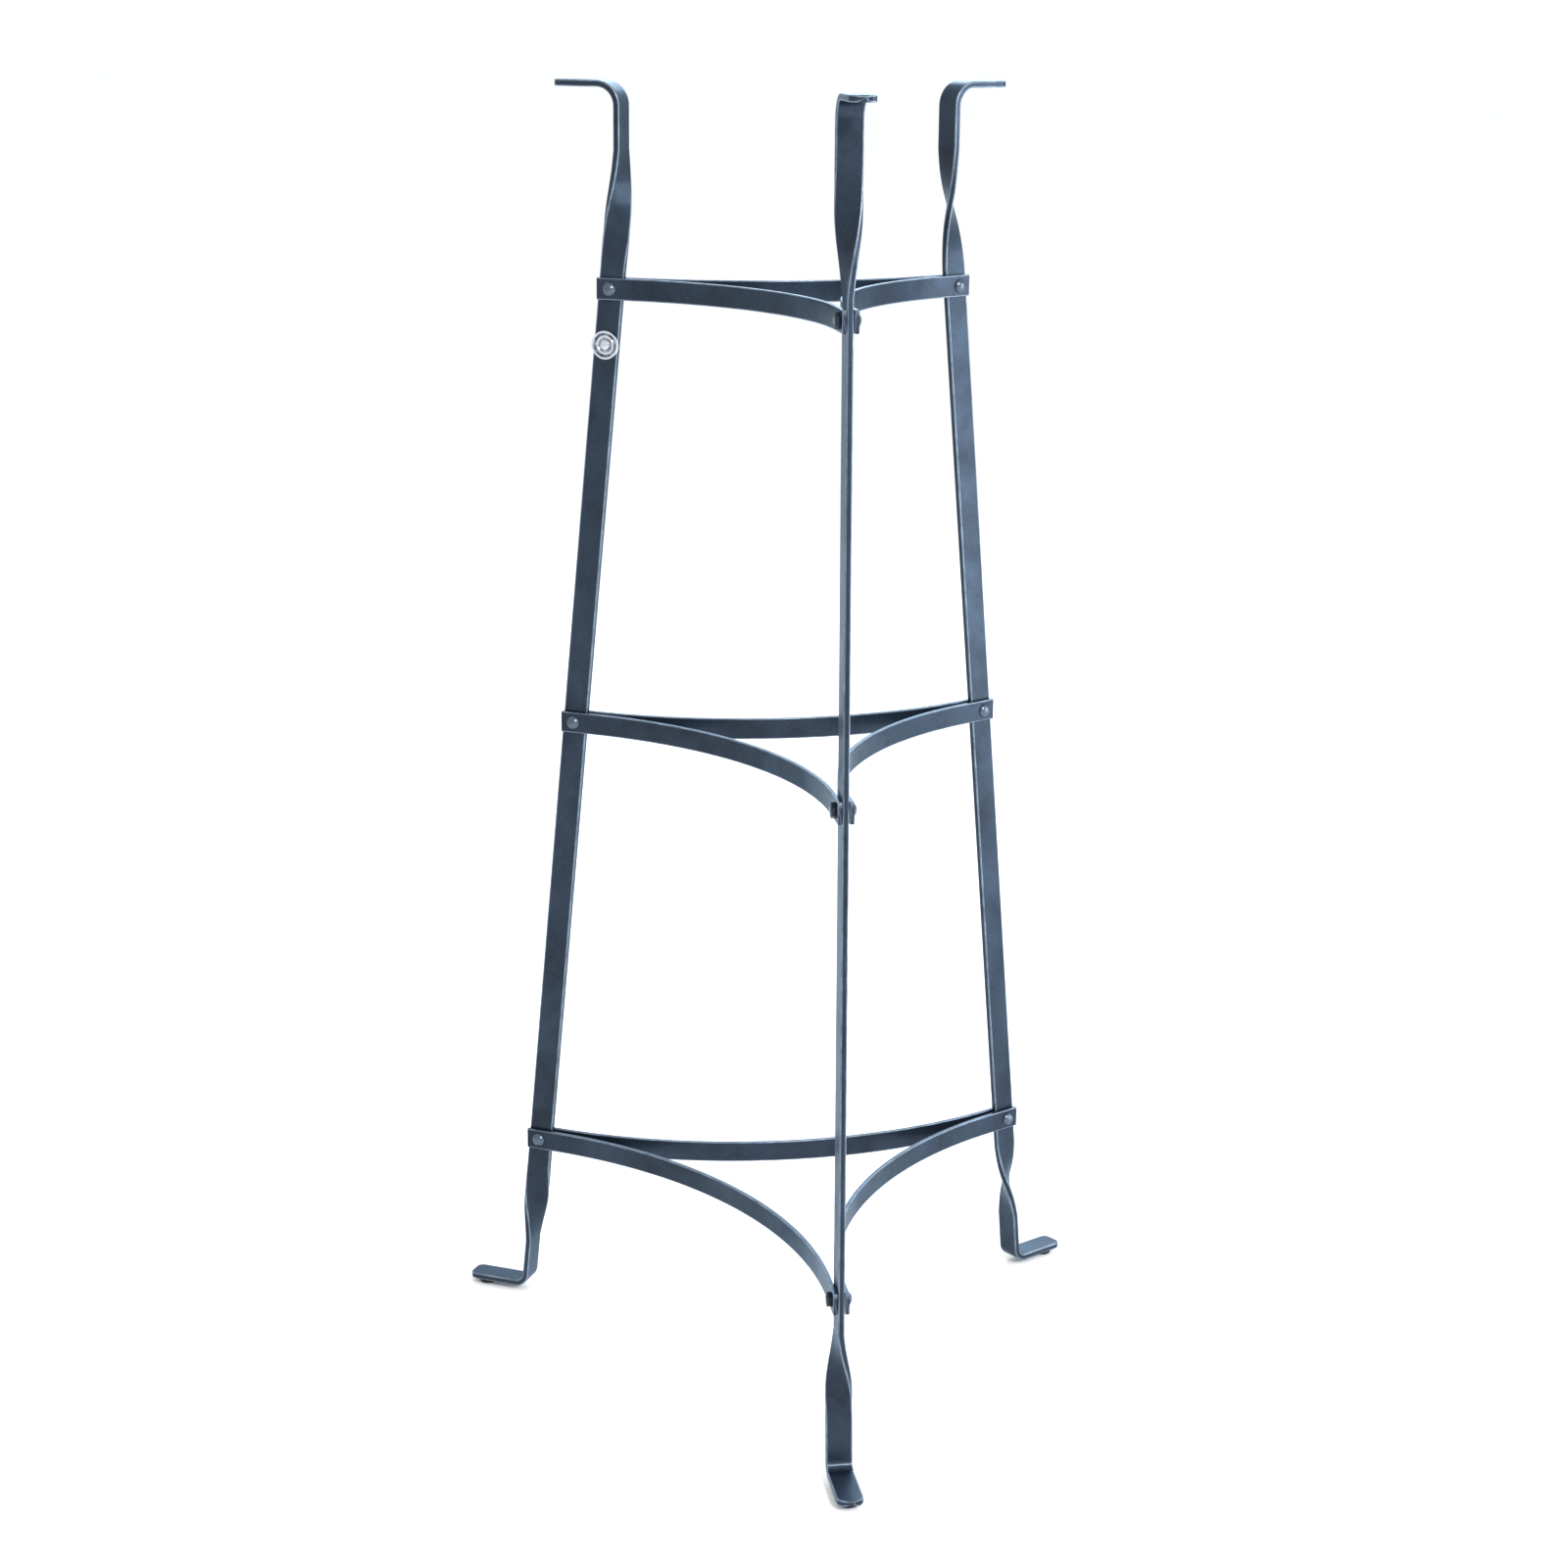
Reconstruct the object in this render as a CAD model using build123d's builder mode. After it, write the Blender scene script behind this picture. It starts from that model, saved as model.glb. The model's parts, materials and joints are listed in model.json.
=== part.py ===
"""Three-legged, three-tier stand of flat steel bar, bolted together.

Three legs lean in towards the top. Between the tiers each leg stands edge-on
to the centre of the stand. Above the top tier and below the bottom tier it is
twisted a quarter turn, so that its flat can be bent outwards into a level tab
at the top and a level foot at the bottom. Each tier is three bowed straps. At
every leg the ends of two straps clamp the bar between them with one bolt.

Frame: +Z up, the floor at Z = 0, the centre line of the stand on the Z axis,
and the front leg towards -Y. Millimetres.
"""

import os
from math import atan2, cos, degrees, hypot, pi, radians, sin, tan

from build123d import *

# ---------------------------------------------------------------- overall
overall_height = 957.0  # floor to the top of the tabs
foot_reach = 279.0  # centre line of the stand to a foot tip
tab_reach = 190.0  # centre line of the stand to a tab tip
tier_names = ("lower", "middle", "upper")
tier_heights = (133.0, 480.0, 809.0)  # floor to the bolt of each tier
lower_tier_radius = 217.0  # centre line to the lower bolts
upper_tier_radius = 148.5  # centre line to the upper bolts
stem_radius = 140.0  # centre line to the upright stems above the top tier
side_lean = 0.7  # degrees: all legs lean the same way round, so the tiers turn

# ------------------------------------------------------------------ legs
leg_azimuths = {"front": -90.0, "right": 30.0, "left": 150.0}
leg_spacing = 120.0  # degrees from one leg to the next
leg_width = 19.05
leg_thick = 4.76
leg_edge_ease = 0.8
tip_corner_radius = 6.0
heel_inner_radius = 7.0
shoulder_inner_radius = 13.0
quarter_turn = 90.0
twist_steps = 16  # sections through each quarter turn
twist_ease = 0.4  # 0 turns evenly, 1 starts and ends gently
bend_steps = 8  # sections round each bend
upper_twist_start = 14.0  # upper bolt to the start of the twist above it
upper_twist_length = 86.0
lower_twist_start = 24.0  # lower bolt to the start of the twist below it
lower_twist_length = 64.0

# ---------------------------------------------------------------- straps
strap_height = 15.9
strap_thick = 3.2
strap_edge_radius = 0.6
strap_straight = 14.0  # bolt to the start of the bow
joint_gap = 0.35  # strap to leg, taken up by the turn between tier and leg

# ----------------------------------------------------- bolts, nuts, pads
bolt_diameter = 6.0
bolt_clearance = 0.25  # round the shank in the straps and the legs
head_diameter = 10.5
head_height = 3.3
head_rim = 0.5  # straight rim under the dome
nut_flats = 10.0
nut_height = 3.2  # thin nut
nut_clearance = 0.1  # round the shank in the nut
nut_chamfer = 0.5
bolt_proud = 0.5  # shank end beyond the nut
bolt_chamfer = 0.4
bolt_sides = {"front": 1, "right": -1, "left": 1}  # +1: head on the anticlockwise face

pad_diameter = 13.0
pad_height = 4.5
pad_inset = 12.0  # foot tip to the centre of the pad
pad_edge_radius = 1.0

# ------------------------------------------------------------- medallion
medallion_leg = "left"
medallion_drop = 41.0  # upper bolt to the centre of the medallion
medallion_diameter = 21.0
medallion_thick = 2.2
medallion_rim = 1.6  # width of the raised rim
medallion_recess = 0.8  # depth between the rim and the boss
medallion_boss_diameter = 7.0

# ----------------------------------------------------------- derived sizes
lower_height, middle_height, upper_height = tier_heights
leg_slope = (upper_tier_radius - lower_tier_radius) / (upper_height - lower_height)
side_slope = tan(radians(side_lean))
foot_height = pad_height + leg_thick / 2
tab_height = overall_height - leg_thick / 2
lower_twist_top = lower_height - lower_twist_start
lower_twist_bottom = lower_twist_top - lower_twist_length
upper_twist_bottom = upper_height + upper_twist_start
upper_twist_top = upper_twist_bottom + upper_twist_length
strap_offset = leg_thick / 2 + joint_gap + strap_thick / 2
clamp_face = strap_offset + strap_thick / 2


def leg_radius(height):
    """Distance from the centre line to the middle of a leg at a height."""
    return lower_tier_radius + leg_slope * (height - lower_height)


def leg_side(height):
    """Sideways shift of a leg at a height, anticlockwise positive."""
    return side_slope * (height - middle_height)


def leg_point(height):
    """Middle of the leg bar at a height, in the frame of a leg along +X."""
    return Vector(leg_radius(height), leg_side(height), height)


def tier_radius(height):
    """Distance from the centre line to a bolt of the tier at a height."""
    return hypot(leg_radius(height), leg_side(height))


def tier_turn(height):
    """Turn of the tier at a height that follows the sideways lean, in degrees."""
    return degrees(atan2(leg_side(height), leg_radius(height)))


os.makedirs("parts", exist_ok=True)


def write_node(node, name):
    """Label a finished piece and write its STEP file."""
    node.part.label = name
    export_step(node.part, f"parts/{name}.step")


leg_direction = Vector(leg_slope, side_slope, 1).normalized()
lower_stem_direction = Vector(leg_slope, 0, 1).normalized()
lower_stem_side = leg_side(lower_twist_top - lower_twist_length / 2)
upper_stem_side = leg_side(upper_twist_bottom + upper_twist_length / 2)


# ------------------------------------------------------------ leg, along +X
def bar_section(middle, travel, width_direction):
    """Section of the leg bar with eased edges, square to its direction of travel."""
    with BuildSketch(Plane(origin=middle, x_dir=width_direction, z_dir=travel)) as section:
        Rectangle(leg_width, leg_thick)
        chamfer(section.vertices(), leg_edge_ease)
    return section.sketch


def twist_sections(start, end, start_direction, end_direction, turns):
    """Sections through a quarter turn of the bar, its width turned from outwards."""
    with BuildLine() as run:
        Spline(start, end, tangents=(start_direction, end_direction))
    path = run.wires()[0]
    sections = []
    for station in range(twist_steps + 1):
        share = station / twist_steps
        eased = share - twist_ease * sin(2 * pi * share) / (2 * pi)
        turn = turns[0] + (turns[1] - turns[0]) * eased
        travel = path % share
        outward = (Vector(1, 0, 0) - travel * travel.X).normalized()
        width_direction = outward.rotate(Axis((0, 0, 0), travel), turn)
        sections.append(bar_section(path @ share, travel, width_direction))
    return sections


def bent_end_places(tip, corner, stem_end, inner_radius):
    """Middle and direction of travel of the bar at a tip and round its bend."""
    with BuildLine() as path:
        FilletPolyline(tip, corner, stem_end, radius=inner_radius + leg_thick / 2)
    level, bend, _ = path.wires()[0].order_edges()
    places = [(level @ 0, level % 0)]
    for step in range(bend_steps + 1):
        places.append((bend @ (step / bend_steps), bend % (step / bend_steps)))
    return places


def tip_waste(reach, side, height):
    """Corners of a tip that lie outside its rounded outline."""
    with BuildSketch(Plane.XY.offset(height)) as waste:
        with Locations((reach - tip_corner_radius / 2, side)):
            Rectangle(tip_corner_radius, leg_width + leg_thick)
        with Locations((reach - leg_width / 2, side)):
            RectangleRounded(leg_width, leg_width, tip_corner_radius, mode=Mode.SUBTRACT)
    return waste.sketch


lower_stem_end = Vector(leg_radius(lower_twist_bottom), lower_stem_side, lower_twist_bottom)
upper_stem_end = Vector(stem_radius, upper_stem_side, upper_twist_top)
sideways = Vector(0, 1, 0)

foot_places = bent_end_places(
    Vector(foot_reach, lower_stem_side, foot_height),
    Vector(leg_radius(foot_height), lower_stem_side, foot_height),
    lower_stem_end,
    heel_inner_radius,
)
tab_places = bent_end_places(
    Vector(tab_reach, upper_stem_side, tab_height),
    Vector(stem_radius, upper_stem_side, tab_height),
    upper_stem_end,
    shoulder_inner_radius,
)

with BuildPart() as leg_blank:
    leg_sections = [bar_section(middle, travel, sideways) for middle, travel in foot_places]
    leg_sections += twist_sections(
        lower_stem_end, leg_point(lower_twist_top), lower_stem_direction, leg_direction, (quarter_turn, 0)
    )
    leg_sections += twist_sections(
        leg_point(upper_twist_bottom), upper_stem_end, leg_direction, Vector(0, 0, 1), (0, quarter_turn)
    )
    leg_sections += [bar_section(middle, travel * -1, sideways) for middle, travel in reversed(tab_places)]
    loft(leg_sections, ruled=True)
    extrude(tip_waste(foot_reach, lower_stem_side, foot_height), leg_thick, both=True, mode=Mode.SUBTRACT)
    extrude(tip_waste(tab_reach, upper_stem_side, tab_height), leg_thick, both=True, mode=Mode.SUBTRACT)
    for height in tier_heights:
        with BuildSketch(Plane.XZ.offset(-leg_side(height))):
            with Locations((leg_radius(height), height)):
                Circle(bolt_diameter / 2 + bolt_clearance)
        extrude(amount=leg_thick, both=True, mode=Mode.SUBTRACT)

for leg_name, azimuth in leg_azimuths.items():
    with BuildPart() as leg:
        with Locations(Rotation(0, 0, azimuth)):
            add(leg_blank.part)
    write_node(leg, f"{leg_name}_leg")


# --------------------------------------------------------- straps, by tier
def strap_path(radius):
    """Middle line of a strap from the leg along +X to the next leg round."""
    bow_start = radius - strap_straight
    bow_centre = bow_start / cos(radians(leg_spacing / 2))
    bow_radius = bow_start * tan(radians(leg_spacing / 2)) - strap_offset
    outer_end = radius + leg_width / 2
    first = (outer_end, strap_offset)
    corner = (bow_start, strap_offset)
    middle = Vector(bow_centre - bow_radius, 0).rotate(Axis.Z, leg_spacing / 2)
    far_corner = Vector(bow_start, -strap_offset).rotate(Axis.Z, leg_spacing)
    last = Vector(outer_end, -strap_offset).rotate(Axis.Z, leg_spacing)
    with BuildLine() as path:
        Line(first, corner)
        ThreePointArc(corner, middle, far_corner)
        Line(far_corner, last)
    return path.wires()[0]


strap_starts = {"right": "front", "back": "right", "left": "left"}

for tier_name, height in zip(tier_names, tier_heights):
    radius = tier_radius(height)
    with BuildPart() as strap_blank:
        path = strap_path(radius)
        with BuildSketch(Plane(origin=path @ 0, x_dir=(0, 1, 0), z_dir=path % 0)):
            RectangleRounded(strap_thick, strap_height, strap_edge_radius)
        sweep(path=path)
        for end_turn in (0, leg_spacing):
            end_plane = Plane.XZ.rotated((0, 0, end_turn))
            with BuildSketch(end_plane):
                with Locations((radius, 0)):
                    Circle(bolt_diameter / 2 + bolt_clearance)
            extrude(amount=clamp_face + strap_thick, both=True, mode=Mode.SUBTRACT)
    for strap_name, start_leg in strap_starts.items():
        with BuildPart() as strap:
            turn = leg_azimuths[start_leg] + tier_turn(height)
            with Locations(Location((0, 0, height), (0, 0, turn))):
                add(strap_blank.part)
        write_node(strap, f"{tier_name}_{strap_name}_strap")

# ---------------------------------------------------------- bolts and nuts
head_radius = head_diameter / 2
shank_radius = bolt_diameter / 2
dome_rise = head_height - head_rim
dome_radius = (head_radius**2 + dome_rise**2) / (2 * dome_rise)
shank_end = -clamp_face - nut_height - bolt_proud
rim_top = (head_radius, clamp_face + head_rim)
crown = (0, clamp_face + head_height)

with BuildPart() as bolt_blank:
    with BuildSketch(Plane.XZ):
        with BuildLine():
            Polyline(
                (0, shank_end),
                (shank_radius - bolt_chamfer, shank_end),
                (shank_radius, shank_end + bolt_chamfer),
                (shank_radius, clamp_face),
                (head_radius, clamp_face),
                rim_top,
            )
            RadiusArc(rim_top, crown, -dome_radius)
            Line(crown, (0, shank_end))
        make_face()
    revolve(axis=Axis.Z)

with BuildPart() as nut_blank:
    with BuildSketch(Plane.XY.offset(-clamp_face)):
        RegularPolygon(nut_flats / 2, 6, major_radius=False)
        Circle(shank_radius + nut_clearance, mode=Mode.SUBTRACT)
    extrude(amount=-nut_height)
    chamfer(nut_blank.faces().sort_by(Axis.Z)[0].outer_wire().edges(), nut_chamfer)

for tier_name, height in zip(tier_names, tier_heights):
    for leg_name, azimuth in leg_azimuths.items():
        turn = azimuth + tier_turn(height)
        tip_over = -90 * bolt_sides[leg_name]
        joint_place = Location((0, 0, height), (0, 0, turn)) * Location((tier_radius(height), 0, 0))
        bolt_place = joint_place * Rotation(tip_over, 0, 0)
        with BuildPart() as bolt:
            with Locations(bolt_place):
                add(bolt_blank.part)
        write_node(bolt, f"{tier_name}_{leg_name}_bolt")
        with BuildPart() as nut:
            with Locations(bolt_place):
                add(nut_blank.part)
        write_node(nut, f"{tier_name}_{leg_name}_nut")

# ---------------------------------------------------------------- foot pads
for leg_name, azimuth in leg_azimuths.items():
    pad_centre = Vector(foot_reach - pad_inset, lower_stem_side).rotate(Axis.Z, azimuth)
    with BuildPart() as pad:
        with BuildSketch(Plane(origin=(pad_centre.X, pad_centre.Y, 0))):
            Circle(pad_diameter / 2)
        extrude(amount=pad_height)
        fillet(pad.edges().group_by(Axis.Z)[0], pad_edge_radius)
    write_node(pad, f"{leg_name}_foot_pad")

# ---------------------------------------------------------------- medallion
medallion_height = upper_height - medallion_drop
leg_outward = (Vector(1, 0, 0) - leg_direction * leg_direction.X).normalized()
leg_face_normal = leg_direction.cross(leg_outward)
medallion_seat = Plane(
    origin=leg_point(medallion_height) + leg_face_normal * (leg_thick / 2),
    x_dir=leg_outward,
    z_dir=leg_face_normal,
)

with BuildPart() as medallion_blank:
    with BuildSketch():
        Circle(medallion_diameter / 2)
    extrude(amount=medallion_thick)
    with BuildSketch(Plane.XY.offset(medallion_thick)):
        Circle(medallion_diameter / 2 - medallion_rim)
        Circle(medallion_boss_diameter / 2, mode=Mode.SUBTRACT)
    extrude(amount=-medallion_recess, mode=Mode.SUBTRACT)

with BuildPart() as medallion:
    with Locations(Rotation(0, 0, leg_azimuths[medallion_leg]) * medallion_seat.location):
        add(medallion_blank.part)
write_node(medallion, "medallion")
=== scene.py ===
"""Studio scene of a bolted three-tier stand made of twisted flat steel bar.

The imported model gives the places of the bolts, pads, tabs and medallion. The
bars are swept along their middle lines by one Geometry Nodes tree, and a second
tree sets the bolts, nuts and pads on their seats. Metres, with the floor at
Z = 0, the centre line of the stand on the Z axis and the front leg towards -Y.
"""

import json
import logging
from collections.abc import Callable
from dataclasses import dataclass, replace
from enum import Enum
from math import atan2, cos, hypot, pi, radians, sin, sqrt, tan
from typing import Any

import bmesh
import bpy
from mathutils import Matrix, Vector


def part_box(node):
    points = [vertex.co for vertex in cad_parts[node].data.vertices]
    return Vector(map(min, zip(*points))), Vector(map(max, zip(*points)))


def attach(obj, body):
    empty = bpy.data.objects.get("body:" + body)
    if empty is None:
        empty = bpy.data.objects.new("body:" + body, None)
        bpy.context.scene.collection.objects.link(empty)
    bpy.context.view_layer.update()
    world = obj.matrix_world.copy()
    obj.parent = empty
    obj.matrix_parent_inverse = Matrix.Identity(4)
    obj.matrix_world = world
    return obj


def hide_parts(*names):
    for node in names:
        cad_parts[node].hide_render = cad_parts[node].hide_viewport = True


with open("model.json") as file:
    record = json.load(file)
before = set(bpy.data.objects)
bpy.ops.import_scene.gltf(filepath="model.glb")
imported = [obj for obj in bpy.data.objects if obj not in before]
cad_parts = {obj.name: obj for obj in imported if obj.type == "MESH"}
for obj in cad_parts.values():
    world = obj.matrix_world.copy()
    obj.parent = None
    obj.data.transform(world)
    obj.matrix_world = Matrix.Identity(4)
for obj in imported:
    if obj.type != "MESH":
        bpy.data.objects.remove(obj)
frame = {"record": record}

LOG = logging.getLogger("stand")
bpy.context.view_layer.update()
MM = 0.001
LEG_SPACING = 2 * pi / 3

Colour = tuple[float, float, float, float]


@dataclass(frozen=True)
class Sizes:
    """Sizes that more than one sub-assembly uses."""

    leg_width: float = 19.05 * MM
    leg_thick: float = 4.76 * MM
    strap_thick: float = 3.2 * MM
    joint_gap: float = 0.35 * MM
    pad_height: float = 4.5 * MM

    @property
    def strap_offset(self) -> float:
        """Distance from the middle of a leg bar to the middle of a strap."""
        return self.leg_thick / 2 + self.joint_gap + self.strap_thick / 2


SIZES = Sizes()


class Leg(Enum):
    """The three legs, with the turn of each round the centre line."""

    FRONT = ("front", -pi / 2)
    RIGHT = ("right", -pi / 2 + LEG_SPACING)
    LEFT = ("left", -pi / 2 + 2 * LEG_SPACING)

    @property
    def label(self) -> str:
        """Name of the leg as the nodes spell it."""
        return self.value[0]

    @property
    def azimuth(self) -> float:
        """Turn of the leg round the centre line, in radians."""
        return self.value[1]


class Strap(Enum):
    """The straps of a tier, each with the leg that it starts from."""

    RIGHT = ("right", Leg.FRONT)
    BACK = ("back", Leg.RIGHT)
    LEFT = ("left", Leg.LEFT)


class Tier(Enum):
    """The three tiers, from the floor up."""

    LOWER = "lower"
    MIDDLE = "middle"
    UPPER = "upper"


class Surface(Enum):
    """Names of the attributes that the trees and the finishes read."""

    EDGE = "edge"
    WIDTH = "width_direction"
    ACROSS_RATIO = "across_ratio"
    THROUGH_RATIO = "through_ratio"
    ACROSS = "across"
    THROUGH = "through"
    DEPTH = "depth_direction"
    AIM = "aim"


# ------------------------------------------------------------ node trees
class NodeBoard:
    """A node tree, with short calls that add its nodes and join them."""

    def __init__(self, tree: bpy.types.NodeTree) -> None:
        """Keep the tree that the calls work on."""
        self.tree = tree

    def add(self, kind: str, inputs: dict[str | int, Any] | None = None, **settings: Any) -> bpy.types.Node:
        """Add one node.

        Args:
            kind: Type name of the node.
            inputs: Values or output sockets for its inputs, by name or number.
            settings: Values of the node's own properties.

        Returns:
            The new node.
        """
        node = self.tree.nodes.new(kind)
        for name, value in settings.items():
            setattr(node, name, value)
        self.fill(node, inputs or {})
        return node

    def fill(self, node: bpy.types.Node, inputs: dict[str | int, Any]) -> None:
        """Feed several inputs of a node, by name or number."""
        for key, value in inputs.items():
            self.feed(node.inputs[key], value)

    def feed(self, socket: bpy.types.NodeSocket, value: Any) -> None:
        """Give an input socket a value, or join an output socket to it.

        Args:
            socket: The input socket.
            value: A plain value, or the output socket to join.
        """
        if isinstance(value, bpy.types.NodeSocket):
            self.tree.links.new(value, socket)
        else:
            socket.default_value = value

    def math(self, operation: str, *values: Any, clamp: bool = False) -> bpy.types.NodeSocket:
        """Add a Math node and return its result."""
        node = self.add("ShaderNodeMath", dict(enumerate(values)), operation=operation, use_clamp=clamp)
        return node.outputs[0]

    def scale(self, vector: Any, factor: Any) -> bpy.types.NodeSocket:
        """Scale a vector by a factor and return the result."""
        inputs: dict[str | int, Any] = {0: vector, "Scale": factor}
        return self.add("ShaderNodeVectorMath", inputs, operation="SCALE").outputs[0]

    def ramp(
        self, value: Any, low: float, high: float, to_low: float = 0.0, to_high: float = 1.0
    ) -> bpy.types.NodeSocket:
        """Map a value from one range to another, clamped.

        Args:
            value: The value, or the socket that gives it.
            low: Start of the range it comes from.
            high: End of the range it comes from.
            to_low: Result at the start.
            to_high: Result at the end.

        Returns:
            The socket that holds the result.
        """
        inputs = {"Value": value, "From Min": low, "From Max": high, "To Min": to_low, "To Max": to_high}
        return self.add("ShaderNodeMapRange", inputs).outputs["Result"]

    def mix(self, share: Any, first: Any, second: Any) -> bpy.types.NodeSocket:
        """Mix two colours.

        Args:
            share: Share of the second colour, or the socket that gives it.
            first: First colour, or the socket that gives it.
            second: Second colour, or the socket that gives it.

        Returns:
            The socket that holds the mixed colour.
        """
        node = self.add("ShaderNodeMix", {0: share}, data_type="RGBA")
        self.feed(node.inputs[6], first)
        self.feed(node.inputs[7], second)
        return node.outputs[2]

    def socket(self, name: str, kind: str, output: bool = False) -> None:
        """Declare one socket of a group, an input unless output is set."""
        way = "OUTPUT" if output else "INPUT"
        self.tree.interface.new_socket(name=name, in_out=way, socket_type=f"NodeSocket{kind}")


class Effects:
    """Shader groups that more than one finish uses, each built once."""

    def __init__(self) -> None:
        """Build every shared group."""
        self.mottle = self.build_mottle()
        self.edge_wear = self.build_edge_wear()

    @staticmethod
    def build_mottle() -> bpy.types.NodeTree:
        """Build the uneven tone of forged and tumbled metal.

        Returns:
            A group that turns a place on the piece into a broad tone, a fine
            grain and a height for the bump.
        """
        tree = bpy.data.node_groups.new("Forged mottle", "ShaderNodeTree")
        board = NodeBoard(tree)
        board.socket("Place", "Vector")
        board.socket("Patch size", "Float")
        board.socket("Grain size", "Float")
        for name in ("Tone", "Grain", "Height"):
            board.socket(name, "Float", output=True)
        given = board.add("NodeGroupInput").outputs
        patches = board.math("DIVIDE", 1.0, given["Patch size"])
        grains = board.math("DIVIDE", 1.0, given["Grain size"])
        broad = {"Vector": given["Place"], "Scale": patches, "Detail": 4.0, "Roughness": 0.6}
        tone = board.add("ShaderNodeTexNoise", broad).outputs[0]
        fine = {"Vector": given["Place"], "Scale": grains, "Detail": 5.0, "Roughness": 0.65}
        grain = board.add("ShaderNodeTexNoise", fine).outputs[0]
        dents_per_grain, grain_share = 0.22, 0.35
        dent_scale = board.math("MULTIPLY", grains, dents_per_grain)
        dents_in = {"Vector": given["Place"], "Scale": dent_scale, "Smoothness": 0.6}
        dents = board.add("ShaderNodeTexVoronoi", dents_in, feature="SMOOTH_F1").outputs["Distance"]
        raised = board.math("MULTIPLY", grain, grain_share)
        dented = board.math("MULTIPLY", dents, 1 - grain_share)
        result = board.add("NodeGroupOutput")
        board.feed(result.inputs["Tone"], board.ramp(tone, 0.3, 0.7))
        board.feed(result.inputs["Grain"], board.ramp(grain, 0.25, 0.75))
        board.feed(result.inputs["Height"], board.math("ADD", raised, dented))
        return tree

    @staticmethod
    def build_edge_wear() -> bpy.types.NodeTree:
        """Build the broken mask along the edges of a piece that places painted edge highlight and wear, and
        painted seat shade.

        Returns:
            A group that turns nearness to an edge into a broken mask for painted highlight, wear and shade.
        """
        tree = bpy.data.node_groups.new("Edge highlight, wear and shade", "ShaderNodeTree")
        board = NodeBoard(tree)
        board.socket("Place", "Vector")
        board.socket("Nearness", "Float")
        board.socket("Reach", "Float")
        board.socket("Break-up size", "Float")
        board.socket("Edge mask", "Float", output=True)
        given = board.add("NodeGroupInput").outputs
        scale = board.math("DIVIDE", 1.0, given["Break-up size"])
        noise_in = {"Vector": given["Place"], "Scale": scale, "Detail": 4.0, "Roughness": 0.7}
        noise = board.add("ShaderNodeTexNoise", noise_in).outputs[0]
        broken = board.ramp(noise, 0.3, 0.65, 0.35, 1.0)
        start = board.math("SUBTRACT", 1.0, given["Reach"])
        near = board.add("ShaderNodeMapRange", {"Value": given["Nearness"], "From Min": start}).outputs[0]
        result = board.add("NodeGroupOutput")
        board.feed(result.inputs["Edge mask"], board.math("MULTIPLY", near, broken, clamp=True))
        return tree


# --------------------------------------------------------------- finishes
@dataclass(frozen=True)
class Finish:
    """What every finish has: its slot, and how its material is begun."""

    slot: str
    effects: Effects

    def start(self) -> tuple[bpy.types.Material, NodeBoard, bpy.types.Node, bpy.types.NodeSocket]:
        """Begin the material of this finish.

        Returns:
            The material, its board, its shader and the place on the piece.
        """
        material = bpy.data.materials.new(self.slot)
        material.use_nodes = True
        board = NodeBoard(material.node_tree)
        shader = material.node_tree.nodes["Principled BSDF"]
        place = board.add("ShaderNodeTexCoord").outputs["Object"]
        return material, board, shader, place

    def mottle(self, board: NodeBoard, place: Any, patches: float, grains: float) -> bpy.types.NodeOutputs:
        """Place the shared mottle, with patches and grains of this finish's own sizes."""
        inputs = {"Place": place, "Patch size": patches, "Grain size": grains}
        return board.add("ShaderNodeGroup", inputs, node_tree=self.effects.mottle).outputs

    def edge_mask(self, board: NodeBoard, place: Any, reach: float, gaps: float) -> bpy.types.NodeSocket:
        """Place the shared edge mask: painted highlight and wear on the bars, painted shade on the fasteners,
        darker recess corners on the medallion.

        Args:
            board: Board of the material.
            place: Socket of the place on the piece.
            reach: Share of the stored nearness that the mask covers.
            gaps: Size of the gaps that break it up.

        Returns:
            The socket of the mask.
        """
        nearness = board.add("ShaderNodeAttribute", attribute_name=Surface.EDGE.value).outputs["Fac"]
        inputs = {"Place": place, "Nearness": nearness, "Reach": reach, "Break-up size": gaps}
        return board.add("ShaderNodeGroup", inputs, node_tree=self.effects.edge_wear).outputs["Edge mask"]

    @staticmethod
    def bump(board: NodeBoard, shader: bpy.types.Node, height: Any, strength: float, depth: float) -> None:
        """Raise the surface by a height.

        Args:
            board: Board of the material.
            shader: Shader whose normal is bent.
            height: Socket of the height.
            strength: Strength of the bump.
            depth: Distance that a height of one stands for.
        """
        inputs = {"Height": height, "Strength": strength, "Distance": depth}
        board.feed(shader.inputs["Normal"], board.add("ShaderNodeBump", inputs).outputs[0])


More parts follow.
